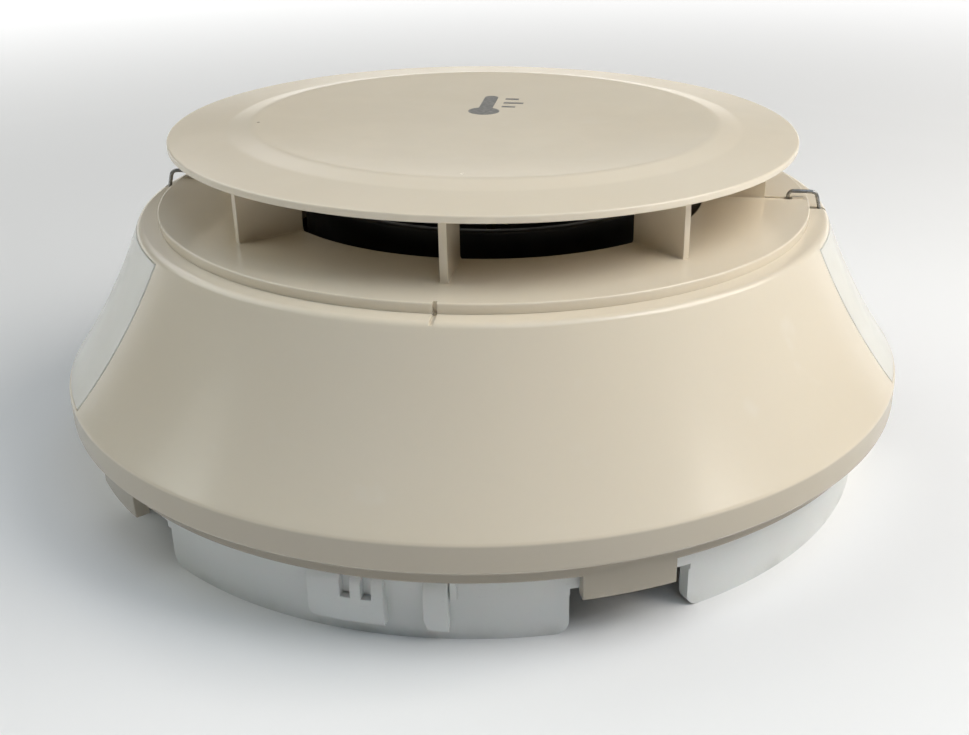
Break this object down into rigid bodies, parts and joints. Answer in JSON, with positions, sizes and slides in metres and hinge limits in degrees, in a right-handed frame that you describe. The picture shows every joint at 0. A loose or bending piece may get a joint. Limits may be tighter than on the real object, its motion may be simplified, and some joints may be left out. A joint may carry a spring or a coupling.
{
  "type": "heat detector",
  "caption": "Ceiling heat detector head: flared cover with two light windows, vaned air inlet under a deflector disc, black sensing chamber and bayonet base with sprung contacts.",
  "frame": {"origin": "centre of the mounting side, on the plane that the bayonet wall stands on", "axes": "+Z from the mounting side towards the deflector disc, which points down into the room when the head hangs on a ceiling; -Y is the front, with the index notch; the retaining wires lie on the X axis"},
  "size_m": [0.112, 0.112, 0.0454],
  "materials": {
    "cover": "glossy moulded cream plastic, lightly scuffed",
    "window": "translucent frosted white plastic",
    "base": "satin moulded white plastic",
    "chamber": "fine black plastic",
    "rubber": "soft black rubber",
    "wire": "bright drawn steel",
    "tinned": "tin plated",
    "leads": "dull enamelled brass",
    "contact": "rolled spring brass",
    "board": "green solder mask over glass fibre",
    "resin": "dark moulded resin",
    "led": "clear resin"
  },
  "bodies": {
    "head": {"outer_cover": "cover", "light_guide_right": "window", "light_guide_left": "window", "vane_tray": "cover", "deflector_disc": "cover", "retaining_wire_right": "wire", "retaining_wire_left": "wire", "sensor_cup": "chamber", "cup_gasket": "rubber", "lead_grommet": "rubber", "thermistor_lead_a": "leads", "thermistor_lead_b": "leads", "thermistor_bead": "resin", "circuit_board": "board", "processor_chip": "resin", "shield_can": "tinned", "bus_driver_chip": "resin", "crystal": "tinned", "rectifier": "resin", "filter_capacitor": "leads", "storage_capacitor": "wire", "bus_inductor": "resin", "reference_thermistor": "resin", "led_right": "led", "led_left": "led", "base_body": "base", "base_screw_1": "wire", "base_screw_2": "wire", "base_screw_3": "wire", "contact_terminal_1": "tinned", "contact_terminal_2": "tinned", "contact_terminal_3": "tinned", "contact_terminal_4": "tinned"},
    "leaf_1": {"contact_spring_1": "contact"},
    "leaf_2": {"contact_spring_2": "contact"},
    "leaf_3": {"contact_spring_3": "contact"},
    "leaf_4": {"contact_spring_4": "contact"}
  },
  "joints": [
    {"name": "leaf_1_flex", "type": "hinge", "parent": "head", "child": "leaf_1", "pos_m": [0.03041, -0.03041, 0.00755], "axis": [-0.7071, 0.7071, 0], "range_deg": [0, 13], "stiffness_Nm_per_rad": 0.17, "springref_deg": -2.86},
    {"name": "leaf_2_flex", "type": "hinge", "parent": "head", "child": "leaf_2", "pos_m": [0.03041, 0.03041, 0.00755], "axis": [-0.7071, -0.7071, 0], "range_deg": [0, 13], "stiffness_Nm_per_rad": 0.17, "springref_deg": -2.86},
    {"name": "leaf_3_flex", "type": "hinge", "parent": "head", "child": "leaf_3", "pos_m": [-0.03041, 0.03041, 0.00755], "axis": [0.7071, -0.7071, 0], "range_deg": [0, 13], "stiffness_Nm_per_rad": 0.17, "springref_deg": -2.86},
    {"name": "leaf_4_flex", "type": "hinge", "parent": "head", "child": "leaf_4", "pos_m": [-0.03041, -0.03041, 0.00755], "axis": [0.7071, 0.7071, 0], "range_deg": [0, 13], "stiffness_Nm_per_rad": 0.17, "springref_deg": -2.86}
  ]
}
